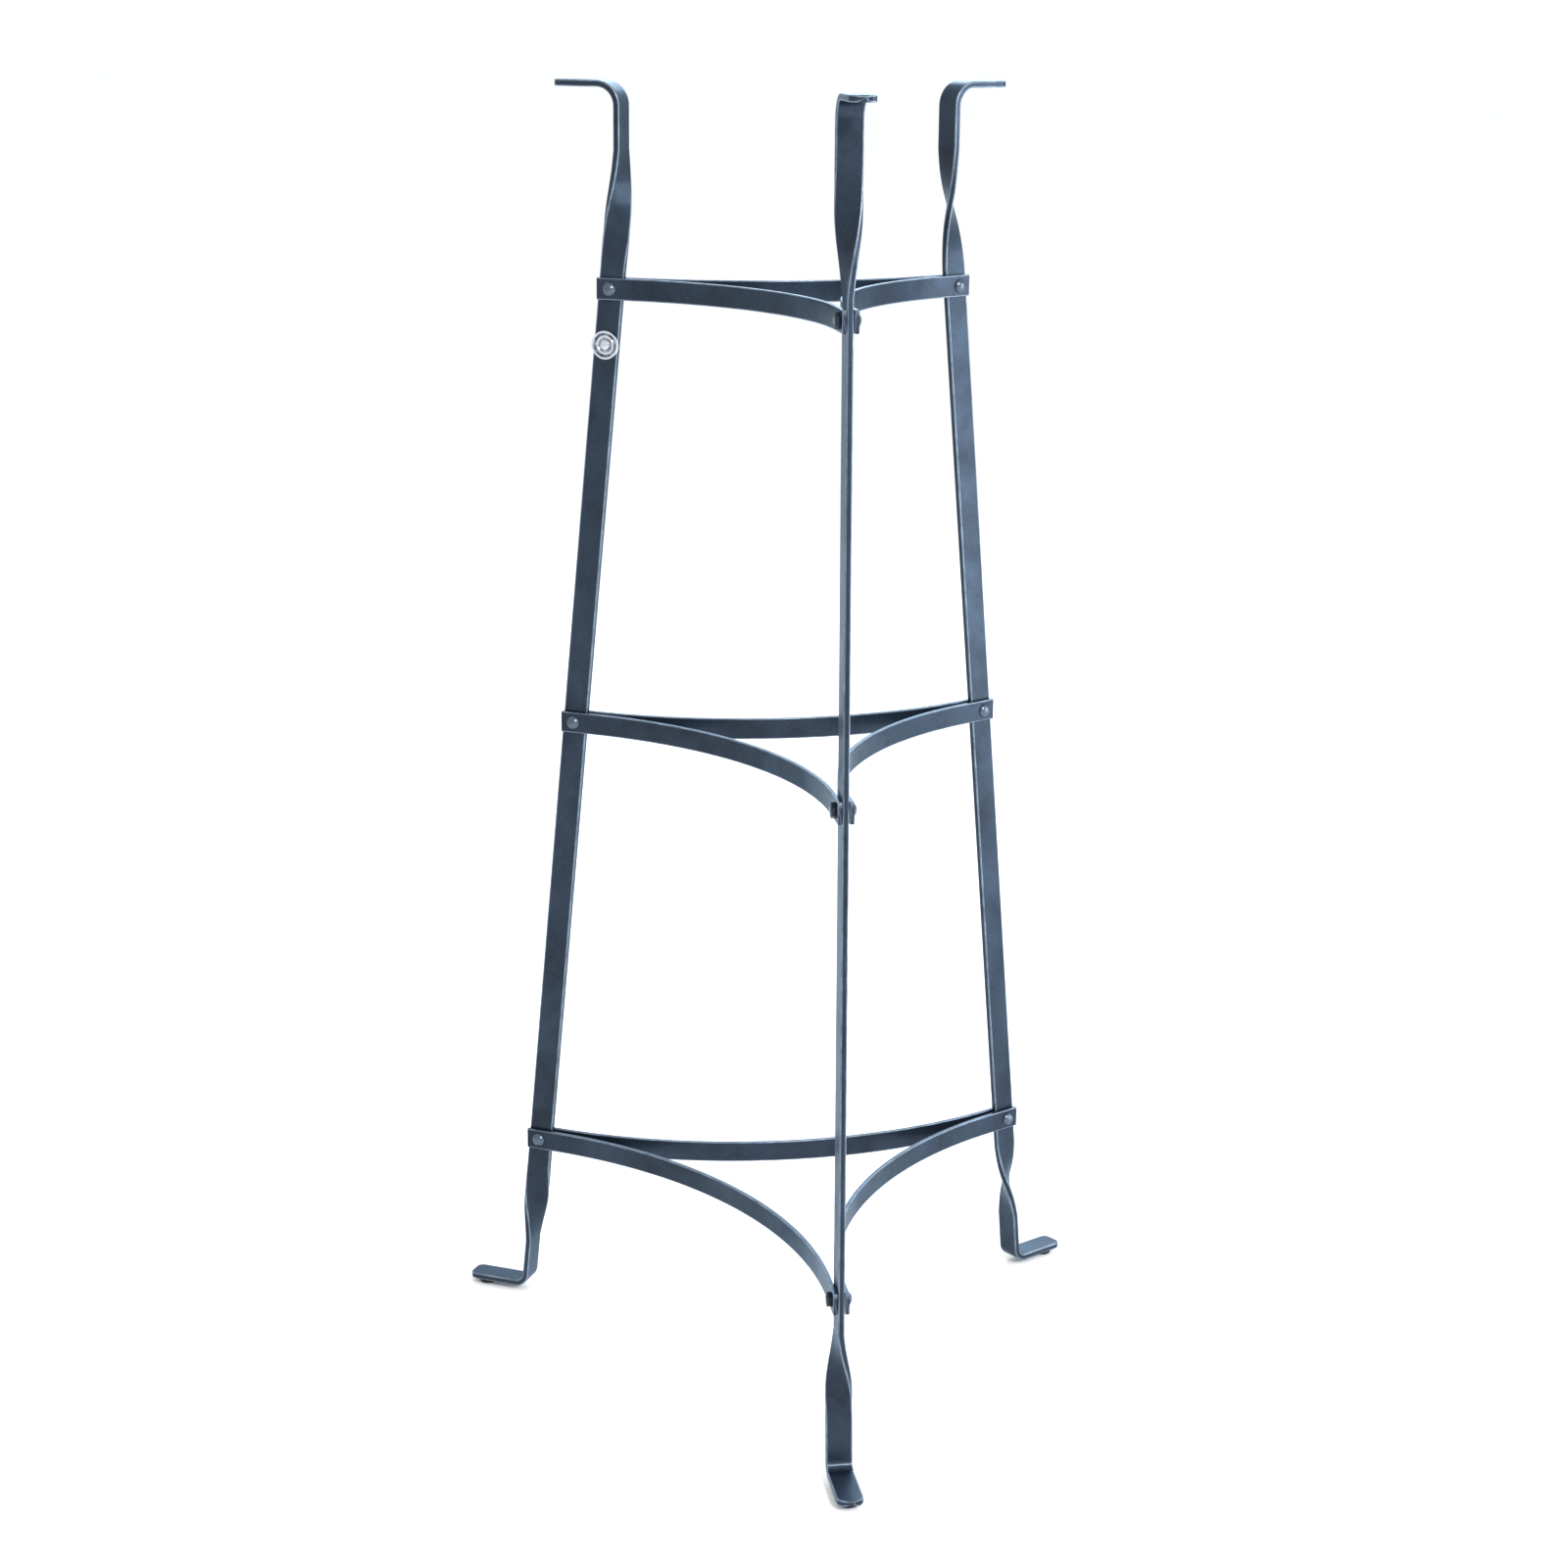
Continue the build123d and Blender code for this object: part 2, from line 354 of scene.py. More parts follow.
@dataclass(frozen=True)
class ForgedSteel(Finish):
    """Blue-grey forged bar under a clear satin lacquer, with a painted highlight along its edges, partly
    rubbed wear.
    """

    dark: Colour = (0.0085, 0.0128, 0.021, 1)
    light: Colour = (0.032, 0.049, 0.077, 1)
    worn: Colour = (0.19, 0.235, 0.3, 1)
    tint: Colour = (0.66, 0.83, 1.0, 1)
    patch_size: float = 45 * MM
    grain_size: float = 2.2 * MM
    grain_share: float = 0.3
    wear_reach: float = 0.32
    wear_gaps: float = 12 * MM
    wear_polish: float = 0.1
    rough_dark: float = 0.46
    rough_light: float = 0.34
    metallic: float = 0.85
    lacquer: float = 0.16
    lacquer_rough: float = 0.16
    bump_strength: float = 0.4
    bump_depth: float = 0.5 * MM

    def make(self) -> bpy.types.Material:
        """Build the material.

        Returns:
            The finished material.
        """
        material, board, shader, place = self.start()
        mottle = self.mottle(board, place, self.patch_size, self.grain_size)
        # Painted highlight along the edges, partly rubbed wear: the edge band is lightened towards a pale
        # blue-grey.
        highlight_and_wear = self.edge_mask(board, place, self.wear_reach, self.wear_gaps)
        patches = board.math("MULTIPLY", mottle["Tone"], 1 - self.grain_share)
        grains = board.math("MULTIPLY", mottle["Grain"], self.grain_share)
        tone = board.math("ADD", patches, grains)
        base = board.mix(tone, self.dark, self.light)
        rough = board.ramp(tone, 0.0, 1.0, self.rough_dark, self.rough_light)
        polish = board.math("MULTIPLY", highlight_and_wear, self.wear_polish)
        board.fill(shader, {
            "Base Color": board.mix(highlight_and_wear, base, self.worn),
            "Roughness": board.math("SUBTRACT", rough, polish),
            "Metallic": self.metallic,
            "Specular Tint": self.tint,
            "Coat Weight": self.lacquer,
            "Coat Roughness": self.lacquer_rough,
        })
        self.bump(board, shader, mottle["Height"], self.bump_strength, self.bump_depth)
        return material


@dataclass(frozen=True)
class TurnedSteel(Finish):
    """Bright or blackened fastener steel, with painted shade where it meets its seat and in its crevices, and
    some random grime.
    """

    metal: Colour = (0.1, 0.125, 0.16, 1)
    grime: Colour = (0.03, 0.036, 0.05, 1)
    tint: Colour = (0.8, 0.9, 1.0, 1)
    smooth: float = 0.2
    rough: float = 0.36
    patch_size: float = 6 * MM
    grain_size: float = 0.9 * MM
    seat_reach: float = 0.8
    seat_gaps: float = 3 * MM
    soiling: float = 0.14
    metallic: float = 0.95
    bump_strength: float = 0.12
    bump_depth: float = 0.2 * MM

    def make(self) -> bpy.types.Material:
        """Build the material.

        Returns:
            The finished material.
        """
        material, board, shader, place = self.start()
        mottle = self.mottle(board, place, self.patch_size, self.grain_size)
        # Painted shade: darker where the piece meets its seat, at the head's rim and in the thread roots; the
        # mottle adds a little real random grime.
        seat = self.edge_mask(board, place, self.seat_reach, self.seat_gaps)
        shaded_and_soiled = board.math("ADD", seat, board.math("MULTIPLY", mottle["Tone"], self.soiling), clamp=True)
        board.fill(shader, {
            "Base Color": board.mix(shaded_and_soiled, self.metal, self.grime),
            "Roughness": board.ramp(mottle["Grain"], 0.0, 1.0, self.smooth, self.rough),
            "Metallic": self.metallic,
            "Specular Tint": self.tint,
        })
        self.bump(board, shader, mottle["Height"], self.bump_strength, self.bump_depth)
        return material


@dataclass(frozen=True)
class PadRubber(Finish):
    """Matt black moulded rubber with a little dust."""

    rubber: Colour = (0.012, 0.013, 0.016, 1)
    dust: Colour = (0.06, 0.062, 0.066, 1)
    dust_start: float = 0.5
    dust_most: float = 0.6
    smooth: float = 0.68
    rough: float = 0.86
    patch_size: float = 5 * MM
    grain_size: float = 0.7 * MM
    bump_strength: float = 0.35
    bump_depth: float = 0.2 * MM

    def make(self) -> bpy.types.Material:
        """Build the material.

        Returns:
            The finished material.
        """
        material, board, shader, place = self.start()
        mottle = self.mottle(board, place, self.patch_size, self.grain_size)
        dusty = board.ramp(mottle["Tone"], self.dust_start, 1.0, 0.0, self.dust_most)
        board.fill(shader, {
            "Base Color": board.mix(dusty, self.rubber, self.dust),
            "Roughness": board.ramp(mottle["Grain"], 0.0, 1.0, self.smooth, self.rough),
        })
        self.bump(board, shader, mottle["Height"], self.bump_strength, self.bump_depth)
        return material


# ------------------------------------------------------------- the layout
@dataclass(frozen=True)
class Fastener:
    """Sizes of the bolts and nuts, from the middle of the leg bar outwards."""

    clamp_face: float = SIZES.strap_offset + SIZES.strap_thick / 2
    head_radius: float = 5.25 * MM
    head_height: float = 3.3 * MM
    head_rim: float = 0.5 * MM
    shank_radius: float = 3.0 * MM
    nut_apothem: float = 5.0 * MM
    nut_height: float = 3.2 * MM
    proud: float = 0.5 * MM
    chamfer: float = 0.4 * MM
    thread_pitch: float = 0.7 * MM
    thread_depth: float = 0.25 * MM
    thread_count: int = 5
    nut_clearance: float = 0.1 * MM
    nut_slope: float = radians(30)
    nut_bore_chamfer: float = 0.5 * MM

    @property
    def middle_shift(self) -> float:
        """Distance from the middle of the bar to the middle of the bolt, towards the head."""
        return (self.head_height - self.nut_height - self.proud) / 2


class Layout:
    """Where the legs and tiers stand, worked out from the front leg's own pieces."""

    def __init__(self, fastener: Fastener) -> None:
        """Read the places of the bolts, pad and tab of the front leg.

        That leg stands towards -Y, so each place is turned by a quarter turn to
        lie along +X.

        Args:
            fastener: Sizes that lead from a bolt's box to the middle of the bar.
        """
        self.joints: dict[Tier, Vector] = {}
        for tier in Tier:
            low, high = (Vector(corner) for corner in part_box(f"{tier.value}_front_bolt"))
            middle = (low + high) / 2
            self.joints[tier] = Vector((-middle.y, middle.x - fastener.middle_shift, middle.z))
        mounts = {mount["name"]: Vector(mount["pos_m"]) for mount in frame["record"]["mounts"]}
        pad, tab = mounts["front_pad_face"], mounts["front_tab_face"]
        self.foot_middle = Vector((-pad.y, pad.x, pad.z))
        self.tab_middle = Vector((-tab.y, tab.x, tab.z))
        self.foot_reach = -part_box("front_leg")[0][1]
        self.height = tab.z

    def along(self, height: float) -> Vector:
        """Middle of the leaning bar at a height, for a leg along +X."""
        low, high = self.joints[Tier.LOWER], self.joints[Tier.UPPER]
        return low.lerp(high, (height - low.z) / (high.z - low.z))

    @property
    def lean(self) -> Vector:
        """Direction of the leaning bar, upwards."""
        return (self.joints[Tier.UPPER] - self.joints[Tier.LOWER]).normalized()

    def tier_radius(self, tier: Tier) -> float:
        """Distance from the centre line to the bolts of a tier."""
        return hypot(self.joints[tier].x, self.joints[tier].y)

    def tier_turn(self, tier: Tier) -> float:
        """Turn of a tier that follows the sideways lean of the legs."""
        return atan2(self.joints[tier].y, self.joints[tier].x)


# ------------------------------------------------------------ bar sweeping
@dataclass(frozen=True)
class Station:
    """One section of a bar: its middle, the direction of its width and its shrinking."""

    middle: Vector
    width: Vector
    across_ratio: float = 1.0
    through_ratio: float = 1.0


@dataclass(frozen=True)
class BarStock:
    """Flat bar with eased edges, and the sweep that makes a piece of it."""

    name: str
    width: float
    thick: float
    ease: float
    edge_band: float = 1.1 * MM
    most_of_side: float = 0.45
    ease_steps: int = 4

    def section(self) -> bpy.types.Object:
        """Make the outline of the bar's section.

        Even corners lead from a narrow side to a wide face, and odd corners
        back. Beside each corner a band marks where the painted edge highlight and wear go.

        Returns:
            A closed loop of edges, with the attributes that the sweep carries on.
        """
        points: list[tuple[float, float, float]] = []
        half_width, half_thick = self.width / 2, self.thick / 2
        band = min(self.edge_band, half_thick * self.most_of_side)
        for corner, (sx, sy) in enumerate(((1, 1), (-1, 1), (-1, -1), (1, -1))):
            middle = Vector((sx * (half_width - self.ease), sy * (half_thick - self.ease)))
            arc = [corner * pi / 2 + step * pi / 2 / self.ease_steps for step in range(self.ease_steps + 1)]
            rounded = [(middle.x + self.ease * cos(a), middle.y + self.ease * sin(a), 1.0) for a in arc]
            first, last = rounded[0], rounded[-1]
            into = Vector((-sx * (self.edge_band if corner % 2 else 0), -sy * (0 if corner % 2 else band)))
            out = Vector((-sx * (0 if corner % 2 else self.edge_band), -sy * (band if corner % 2 else 0)))
            points.append((first[0] + into.x, first[1] + into.y, 0.0))
            points += rounded
            points.append((last[0] + out.x, last[1] + out.y, 0.0))
        mesh = bpy.data.meshes.new(f"{self.name}_section")
        count = len(points)
        mesh.from_pydata([(x, y, 0) for x, y, _ in points], [(i, (i + 1) % count) for i in range(count)], [])
        Shape.store(mesh, Surface.EDGE, [edge for _, _, edge in points])
        Shape.store(mesh, Surface.ACROSS, [x for x, _, _ in points])
        Shape.store(mesh, Surface.THROUGH, [y for _, y, _ in points])
        return Shape.link(f"{self.name}_section", mesh)


class Shape:
    """Small makers of plain mesh shapes."""

    @staticmethod
    def link(name: str, mesh: bpy.types.Mesh) -> bpy.types.Object:
        """Put a mesh into the scene.

        Args:
            name: Name of the object.
            mesh: Its mesh.

        Returns:
            The new object.
        """
        shape = bpy.data.objects.new(name, mesh)
        bpy.context.scene.collection.objects.link(shape)
        return shape

    @staticmethod
    def drop(shape: bpy.types.Object) -> None:
        """Take a helper object and its mesh out of the file.

        Args:
            shape: The helper object.
        """
        mesh = shape.data
        bpy.data.objects.remove(shape)
        bpy.data.meshes.remove(mesh)

    @staticmethod
    def store(mesh: bpy.types.Mesh, surface: Surface, values: list[Any]) -> None:
        """Store one number or vector for each vertex.

        Args:
            mesh: The mesh that takes the attribute.
            surface: Name of the attribute.
            values: A number or a Vector for each vertex.
        """
        is_vector = isinstance(values[0], Vector)
        kind = "FLOAT_VECTOR" if is_vector else "FLOAT"
        attribute = mesh.attributes.new(surface.value, kind, "POINT")
        for item, value in zip(attribute.data, values):
            setattr(item, "vector" if is_vector else "value", value)

    @staticmethod
    def rings(
        name: str, rings: list[list[Vector]], edges: list[float], poles: tuple[Vector, Vector]
    ) -> bpy.types.Object:
        """Join rings of points into a closed shell with a pole at each end.

        Args:
            name: Name of the object.
            rings: Rings of points, all of one count, from the first pole to the last.
            edges: Nearness to an edge of each ring.
            poles: The first and last point.

        Returns:
            The object that holds the shell.
        """
        count = len(rings[0])
        points = [poles[0]] + [point for ring in rings for point in ring] + [poles[1]]
        faces: list[tuple[int, ...]] = [(0, 1 + (i + 1) % count, 1 + i) for i in range(count)]
        for row in range(len(rings) - 1):
            near, far = 1 + row * count, 1 + (row + 1) * count
            for i in range(count):
                j = (i + 1) % count
                faces.append((near + i, near + j, far + j, far + i))
        last = 1 + (len(rings) - 1) * count
        faces += [(len(points) - 1, last + i, last + (i + 1) % count) for i in range(count)]
        mesh = bpy.data.meshes.new(name)
        mesh.from_pydata(points, [], faces)
        on_rings = [edge for edge in edges for _ in range(count)]
        Shape.store(mesh, Surface.EDGE, [edges[0], *on_rings, edges[-1]])
        Shape.close(mesh)
        return Shape.link(name, mesh)

    @staticmethod
    def close(mesh: bpy.types.Mesh) -> None:
        """Merge doubles and point every face outwards.

        Args:
            mesh: Mesh of a closed shell.
        """
        merge_reach = 0.002 * MM
        shell = bmesh.new()
        shell.from_mesh(mesh)
        bmesh.ops.remove_doubles(shell, verts=shell.verts, dist=merge_reach)
        bmesh.ops.recalc_face_normals(shell, faces=shell.faces)
        shell.to_mesh(mesh)
        shell.free()

    @staticmethod
    def soften(mesh: bpy.types.Mesh, angle: float = radians(32)) -> None:
        """Shade smooth, but keep edges sharper than an angle crisp."""
        mesh.shade_smooth()
        mesh.set_sharp_from_angle(angle=angle)

    @staticmethod
    def circle(radius: float, height: float, count: int) -> list[Vector]:
        """Points evenly round the Z axis at a height."""
        turns = [2 * pi * i / count for i in range(count)]
        return [Vector((radius * cos(turn), radius * sin(turn), height)) for turn in turns]


class Trees:
    """The Geometry Nodes trees that sweep the bars and set the fasteners."""

    def __init__(self) -> None:
        """Build both trees."""
        self.sweep = self.build_sweep()
        self.setting = self.build_setting()

    @staticmethod
    def begin(name: str, sockets: list[tuple[str, str]]) -> tuple[NodeBoard, bpy.types.NodeOutputs]:
        """Start a tree that takes and gives a geometry.

        Args:
            name: Name of the tree.
            sockets: Name and kind of each further input.

        Returns:
            The board of the tree and its input sockets.
        """
        tree = bpy.data.node_groups.new(name, "GeometryNodeTree")
        board = NodeBoard(tree)
        board.socket("Geometry", "Geometry")
        for label, kind in sockets:
            board.socket(label, kind)
        board.socket("Geometry", "Geometry", output=True)
        return board, board.add("NodeGroupInput").outputs

    @staticmethod
    def end(board: NodeBoard, geometry: Any, material: Any) -> None:
        """Realize the result, dress it and hand it out.

        Args:
            board: Board of the tree.
            geometry: Socket of the result.
            material: Socket of the material.
        """
        real = board.add("GeometryNodeRealizeInstances", {0: geometry}).outputs[0]
        dressed = board.add("GeometryNodeSetMaterial", {"Geometry": real, "Material": material}).outputs[0]
        board.feed(board.add("NodeGroupOutput").inputs[0], dressed)

    @staticmethod
    def read(board: NodeBoard, surface: Surface, kind: str = "FLOAT") -> bpy.types.NodeSocket:
        """Read a named attribute inside a tree."""
        node = board.add("GeometryNodeInputNamedAttribute", {"Name": surface.value}, data_type=kind)
        return node.outputs[0]

    @classmethod
    def build_sweep(cls) -> bpy.types.NodeTree:
        """Build the sweep of a bar's section along its middle line.

        Returns:
            A tree that turns the section with the width direction stored on the
            line, and shrinks it where the line says so, at the rounded tips.
        """
        board, given = cls.begin("Bar sweep", [("Section", "Object"), ("Finish", "Material")])
        line = board.add("GeometryNodeMeshToCurve", {0: given["Geometry"]}).outputs[0]
        turned = board.add("GeometryNodeSetCurveNormal", {"Curve": line}, mode="FREE")
        board.feed(turned.inputs["Normal"], cls.read(board, Surface.WIDTH, "FLOAT_VECTOR"))
        section = board.add("GeometryNodeObjectInfo", {"Object": given["Section"]}).outputs["Geometry"]
        outline = board.add("GeometryNodeMeshToCurve", {0: section}).outputs[0]
        swept = board.add("GeometryNodeCurveToMesh", {"Curve": turned.outputs[0], "Profile Curve": outline})
        swept.inputs["Fill Caps"].default_value = True
        width = cls.read(board, Surface.WIDTH, "FLOAT_VECTOR")
        across = cls.read(board, Surface.ACROSS)
        lost = board.math("SUBTRACT", cls.read(board, Surface.ACROSS_RATIO), 1.0)
        inwards = board.scale(width, board.math("MULTIPLY", across, lost))
        moved = board.add("GeometryNodeSetPosition", {"Geometry": swept.outputs[0], "Offset": inwards})
        depth = cls.read(board, Surface.DEPTH, "FLOAT_VECTOR")
        through = cls.read(board, Surface.THROUGH)
        thinned = board.math("SUBTRACT", cls.read(board, Surface.THROUGH_RATIO), 1.0)
        flatter = board.scale(depth, board.math("MULTIPLY", through, thinned))
        shaped = board.add("GeometryNodeSetPosition", {"Geometry": moved.outputs[0], "Offset": flatter})
        cls.end(board, shaped.outputs[0], given["Finish"])
        return board.tree

    @classmethod
    def build_setting(cls) -> bpy.types.NodeTree:
        """Build the setting of one fastener on each of many seats.

        Returns:
            A tree that puts the fastener on every point, its own axis along the
            direction stored there.
        """
        board, given = cls.begin("Fastener setting", [("Fastener", "Object"), ("Finish", "Material")])
        fastener = board.add("GeometryNodeObjectInfo", {"Object": given["Fastener"]}).outputs["Geometry"]
        aim = cls.read(board, Surface.AIM, "FLOAT_VECTOR")
        turn = board.add("FunctionNodeAlignRotationToVector", {"Vector": aim}, axis="Z").outputs[0]
        inputs = {"Points": given["Geometry"], "Instance": fastener, "Rotation": turn}
        placed = board.add("GeometryNodeInstanceOnPoints", inputs).outputs[0]
        cls.end(board, placed, given["Finish"])
        return board.tree

    @staticmethod
    def run(
        name: str, mesh: bpy.types.Mesh, tree: bpy.types.NodeTree, inputs: dict[str, Any]
    ) -> bpy.types.Object:
        """Run a tree on a mesh and keep the plain result.

        Args:
            name: Name of the finished piece.
            mesh: Line or seats that the tree starts from.
            tree: The tree.
            inputs: Values of the tree's named inputs.

        Returns:
            The piece as a plain mesh object at the origin.
        """
        guide = Shape.link(f"{name}_guide", mesh)
        modifier = guide.modifiers.new("Build", "NODES")
        modifier.node_group = tree
        for item in tree.interface.items_tree:
            if item.in_out == "INPUT" and item.name in inputs:
                modifier[item.identifier] = inputs[item.name]
        graph = bpy.context.evaluated_depsgraph_get()
        graph.update()
        result = bpy.data.meshes.new_from_object(guide.evaluated_get(graph), depsgraph=graph)
        result.name = name
        guide.modifiers.remove(modifier)
        Shape.drop(guide)
        return Shape.link(name, result)


@dataclass
class Workshop:
    """What every sub-assembly needs: the layout, the trees and the finishes."""

    layout: Layout
    trees: Trees
    finishes: dict[str, bpy.types.Material]

    def bar(self, name: str, stock: BarStock, stations: list[Station]) -> bpy.types.Object:
        """Sweep a bar through its stations.

        Args:
            name: Name of the piece.
            stock: The bar that it is made of.
            stations: Sections from one end to the other.

        Returns:
            The finished bar.
        """
        mesh = bpy.data.meshes.new(name)
        count = len(stations)
        mesh.from_pydata([s.middle for s in stations], [(i, i + 1) for i in range(count - 1)], [])
        travel = []
        for i in range(count):
            run = stations[min(i + 1, count - 1)].middle - stations[max(i - 1, 0)].middle
            travel.append(run.normalized())
        Shape.store(mesh, Surface.WIDTH, [s.width for s in stations])
        depths = [way.cross(s.width).normalized() for way, s in zip(travel, stations)]
        Shape.store(mesh, Surface.DEPTH, depths)
        Shape.store(mesh, Surface.ACROSS_RATIO, [s.across_ratio for s in stations])
        Shape.store(mesh, Surface.THROUGH_RATIO, [s.through_ratio for s in stations])
        section = stock.section()
        inputs = {"Section": section, "Finish": self.finishes["hammered_steel"]}
        bar = Trees.run(name, mesh, self.trees.sweep, inputs)
        Shape.drop(section)
        Shape.close(bar.data)
        Shape.soften(bar.data)
        return bar

    def set_fasteners(
        self, name: str, source: bpy.types.Object, seats: list[tuple[Vector, Vector]], slot: str
    ) -> bpy.types.Object:
        """Set one copy of a fastener on every seat.

        Args:
            name: Name of the finished piece.
            source: The fastener round its own Z axis, taken out afterwards.
            seats: Place and direction of each copy.
            slot: Material slot of the finish.

        Returns:
            One mesh that holds them all.
        """
        mesh = bpy.data.meshes.new(name)
        mesh.from_pydata([place for place, _ in seats], [], [])
        Shape.store(mesh, Surface.AIM, [aim for _, aim in seats])
        inputs = {"Fastener": source, "Finish": self.finishes[slot]}
        piece = Trees.run(name, mesh, self.trees.setting, inputs)
        Shape.drop(source)
        Shape.soften(piece.data)
        return piece

    @staticmethod
    def hand_over(piece: bpy.types.Object, slot: str, nodes: list[str]) -> None:
        """Attach a finished piece to the root body and hide the nodes that it stands for.

        Args:
            piece: The finished piece.
            slot: Material slot that it takes its finish from; not used.
            nodes: Nodes that it stands for.
        """
        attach(piece, "root")
        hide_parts(*nodes)
        LOG.info("%s stands for %s, %d faces", piece.name, ", ".join(nodes), len(piece.data.polygons))


# --------------------------------------------------------- sub-assemblies
@dataclass
class Legs:
    """Three legs, each one bar: foot, quarter twist, leaning run, quarter twist, tab."""

    shop: Workshop
    stock: BarStock = BarStock("leg_bar", SIZES.leg_width, SIZES.leg_thick, 0.8 * MM)
    tip_corner: float = 6.0 * MM
    heel_radius: float = 7.0 * MM
    shoulder_radius: float = 13.0 * MM
    stem_radius: float = 140.0 * MM
    tab_reach: float = 190.0 * MM
    lower_twist: tuple[float, float] = (24.0 * MM, 64.0 * MM)
    upper_twist: tuple[float, float] = (14.0 * MM, 86.0 * MM)
    twist_steps: int = 56
    twist_ease: float = 0.4
    tip_steps: int = 14
    bend_steps: int = 16
    run_steps: int = 60

    def tip(self, end: Vector, inwards: Vector) -> list[Station]:
        """Sections of a tip with rounded corners and an eased rim.

        Args:
            end: Middle of the tip's outermost edge.
            inwards: Direction from the tip along the bar.

        Returns:
            Stations from the tip to the full section.
        """
        half, half_thick, stations = self.stock.width / 2, self.stock.thick / 2, []
        for step in range(self.tip_steps + 1):
            depth = self.tip_corner * (1 - cos(step / self.tip_steps * pi / 2))
            lost = self.tip_corner - sqrt(self.tip_corner**2 - (self.tip_corner - depth) ** 2)
            rim_depth = min(depth / self.stock.ease, 1.0)
            eased = self.stock.ease * (1 - sqrt(1 - (1 - rim_depth) ** 2))
            ratio = (half - lost - eased) / half
            thin = (half_thick - eased) / half_thick
            stations.append(Station(end + inwards * depth, Vector((0, 1, 0)), ratio, thin))
        return stations

    def bend(self, corner: Vector, before: Vector, after: Vector, inner_radius: float) -> list[Station]:
        """Sections round a bend.

        Args:
            corner: Where the two straight stretches would meet.
            before: Direction of travel into the bend.
            after: Direction of travel out of it.
            inner_radius: Radius inside the bend.

        Returns:
            Stations from the start of the bend to its end.
        """
        radius = inner_radius + self.stock.thick / 2
        turn = before.angle(after)
        start = corner - before * radius * tan(turn / 2)
        inside = (after - before * before.dot(after)).normalized()
        centre = start + inside * radius
        stations = []
        for step in range(self.bend_steps + 1):
            angle = turn * step / self.bend_steps
            middle = centre - inside * radius * cos(angle) + before * radius * sin(angle)
            stations.append(Station(middle, Vector((0, 1, 0))))
        return stations

    def twist(
        self, start: Vector, end: Vector, travels: tuple[Vector, Vector], turns: tuple[float, float]
    ) -> list[Station]:
        """Sections through a quarter turn.

        Args:
            start: Middle of the bar where the twist starts.
            end: Middle of the bar where it ends.
            travels: Direction of travel at the start and the end.
            turns: Turn of the width from facing outwards, at the start and the end.

        Returns:
            Stations from start to end.
        """
        length = (end - start).length
        into, out = travels[0] * length, travels[1] * length
        stations = []
        for step in range(self.twist_steps + 1):
            s = step / self.twist_steps
            middle = start * (2 * s**3 - 3 * s**2 + 1) + end * (3 * s**2 - 2 * s**3)
            middle += into * (s**3 - 2 * s**2 + s) + out * (s**3 - s**2)
            travel = travels[0].lerp(travels[1], s).normalized()
            eased = s - self.twist_ease * sin(2 * pi * s) / (2 * pi)
            turn = turns[0] + (turns[1] - turns[0]) * eased
            outward = (Vector((1, 0, 0)) - travel * travel.x).normalized()
            stations.append(Station(middle, Matrix.Rotation(turn, 3, travel) @ outward))
        return stations

    def stations(self) -> list[Station]:
        """Work out a whole leg that stands along +X.

        Returns:
            Stations from the tip of the foot to the tip of the tab.
        """
        layout = self.shop.layout
        foot_z = SIZES.pad_height + self.stock.thick / 2
        tab_z = layout.height - self.stock.thick / 2
        low_top = layout.joints[Tier.LOWER].z - self.lower_twist[0]
        low_bottom = low_top - self.lower_twist[1]
        high_bottom = layout.joints[Tier.UPPER].z + self.upper_twist[0]
        high_top = high_bottom + self.upper_twist[1]
        foot_side, tab_side = layout.foot_middle.y, layout.tab_middle.y
        foot_tip = Vector((layout.foot_reach, foot_side, foot_z))
        heel = Vector((layout.along(foot_z).x, foot_side, foot_z))
        ankle = Vector((layout.along(low_bottom).x, foot_side, low_bottom))
        neck = Vector((self.stem_radius, tab_side, high_top))
        shoulder = Vector((self.stem_radius, tab_side, tab_z))
        tab_tip = Vector((self.tab_reach, tab_side, tab_z))
        up, out = Vector((0, 0, 1)), Vector((1, 0, 0))
        shin = (ankle - heel).normalized()
        sections = self.tip(foot_tip, -out)
        sections += self.bend(heel, -out, shin, self.heel_radius)
        low_travels, high_travels = (shin, layout.lean), (layout.lean, up)
        sections += self.twist(ankle, layout.along(low_top), low_travels, (pi / 2, 0))
        outward = (out - layout.lean * layout.lean.x).normalized()
        for step in range(1, self.run_steps):
            height = low_top + (high_bottom - low_top) * step / self.run_steps
            sections.append(Station(layout.along(height), outward))
        sections += self.twist(layout.along(high_bottom), neck, high_travels, (0, pi / 2))
        sections += self.bend(shoulder, up, out, self.shoulder_radius)
        sections += reversed(self.tip(tab_tip, -out))
        return sections

    def build(self) -> None:
        """Make the three legs and hand them over."""
        sections = self.stations()
        for leg in Leg:
            turn = Matrix.Rotation(leg.azimuth, 3, "Z")
            placed = [replace(s, middle=turn @ s.middle, width=turn @ s.width) for s in sections]
            piece = self.shop.bar(f"{leg.label}_leg_bar", self.stock, placed)
            self.shop.hand_over(piece, "hammered_steel", [f"{leg.label}_leg"])


